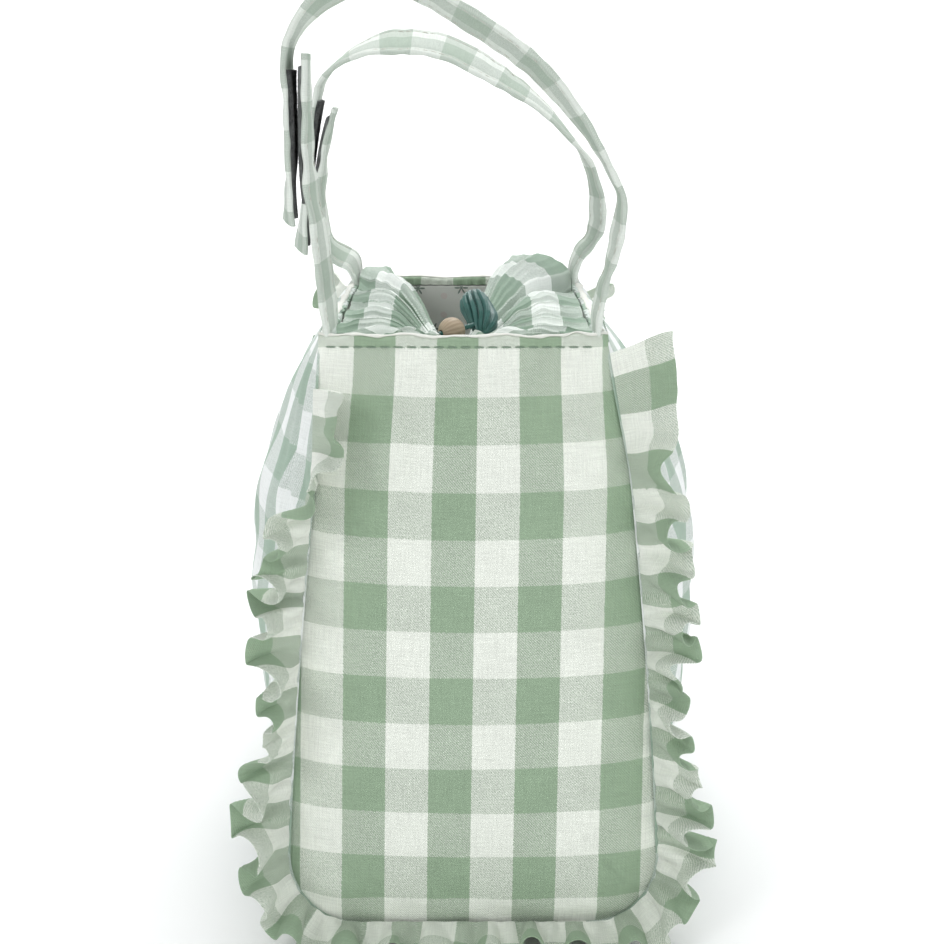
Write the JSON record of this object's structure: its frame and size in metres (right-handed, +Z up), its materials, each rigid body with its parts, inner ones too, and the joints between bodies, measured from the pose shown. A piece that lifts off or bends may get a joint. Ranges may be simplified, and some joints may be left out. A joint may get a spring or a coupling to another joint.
{
  "type": "fruit picking bag",
  "caption": "Small ruffled gingham cloth bag with padded walls, a stiff base, a gathered cloth collar inside the mouth and strap handles that close with hook and loop tape",
  "frame": {"origin": "centre of the underside of the base, on the surface the bag stands on", "axes": "+Z up, the front panel faces -Y, +X is the viewer's right seen from the front"},
  "size_m": [0.1766, 0.2728, 0.3207],
  "materials": {
    "gingham": "sage green and white checked cotton twill",
    "wadding": "soft polyester wadding",
    "lining": null,
    "board": "stiff sheet",
    "hook_tape": "dark grey hook tape",
    "loop_tape": "dark grey loop tape",
    "satin": "teal satin",
    "wood": "pale turned wood"
  },
  "bodies": {
    "bag": {"front_panel": "gingham", "back_panel": "gingham", "left_side_panel": "gingham", "right_side_panel": "gingham", "base_panel": "gingham", "front_hem": "gingham", "back_hem": "gingham", "left_hem": "gingham", "right_hem": "gingham", "front_ruffle": "gingham", "back_ruffle": "gingham", "front_left_strap_foot": "gingham", "front_right_strap_foot": "gingham", "back_left_strap_foot": "gingham", "back_right_strap_foot": "gingham", "front_wadding": "wadding", "back_wadding": "wadding", "left_wadding": "wadding", "right_wadding": "wadding", "base_board": "board", "front_lining": "lining", "back_lining": "lining", "left_lining": "lining", "right_lining": "lining", "base_lining": "lining"},
    "front_handle": {"front_long_strap": "gingham", "front_short_strap": "gingham", "front_loop_tape": "loop_tape"},
    "back_handle": {"back_long_strap": "gingham", "back_short_strap": "gingham", "back_loop_tape": "loop_tape"},
    "front_tail": {"front_strap_tail": "gingham", "front_hook_tape": "hook_tape"},
    "back_tail": {"back_strap_tail": "gingham", "back_hook_tape": "hook_tape"},
    "left_fan": {"left_collar": "gingham"},
    "right_fan": {"right_collar": "gingham", "drawcord": "satin", "drawcord_knot": "satin", "satin_tassel": "satin"},
    "bead": {"wooden_bead": "wood"}
  },
  "joints": [
    {"name": "front_handle_swing", "type": "hinge", "parent": "bag", "child": "front_handle", "pos_m": [0, -0.059, 0.205], "axis": [1, 0, 0], "range_deg": [-40, 40]},
    {"name": "back_handle_swing", "type": "hinge", "parent": "bag", "child": "back_handle", "pos_m": [0, 0.059, 0.205], "axis": [1, 0, 0], "range_deg": [-40, 40]},
    {"name": "front_strap_peel", "type": "hinge", "parent": "front_handle", "child": "front_tail", "pos_m": [-0.0604, -0.059, 0.2972], "axis": [0, 1, 0], "range_deg": [0, 100]},
    {"name": "back_strap_peel", "type": "hinge", "parent": "back_handle", "child": "back_tail", "pos_m": [-0.0637, 0.059, 0.2827], "axis": [0, 1, 0], "range_deg": [0, 90]},
    {"name": "left_collar_open", "type": "hinge", "parent": "bag", "child": "left_fan", "pos_m": [-0.0434, 0, 0.2005], "axis": [0, -1, 0], "range_deg": [0, 55]},
    {"name": "right_collar_open", "type": "hinge", "parent": "bag", "child": "right_fan", "pos_m": [0.0434, 0, 0.2005], "axis": [0, 1, 0], "range_deg": [0, 55]},
    {"name": "bead_slide", "type": "slide", "parent": "right_fan", "child": "bead", "axis": [0.8048, 0.5832, 0.1108], "range_m": [0, 0.004]}
  ]
}
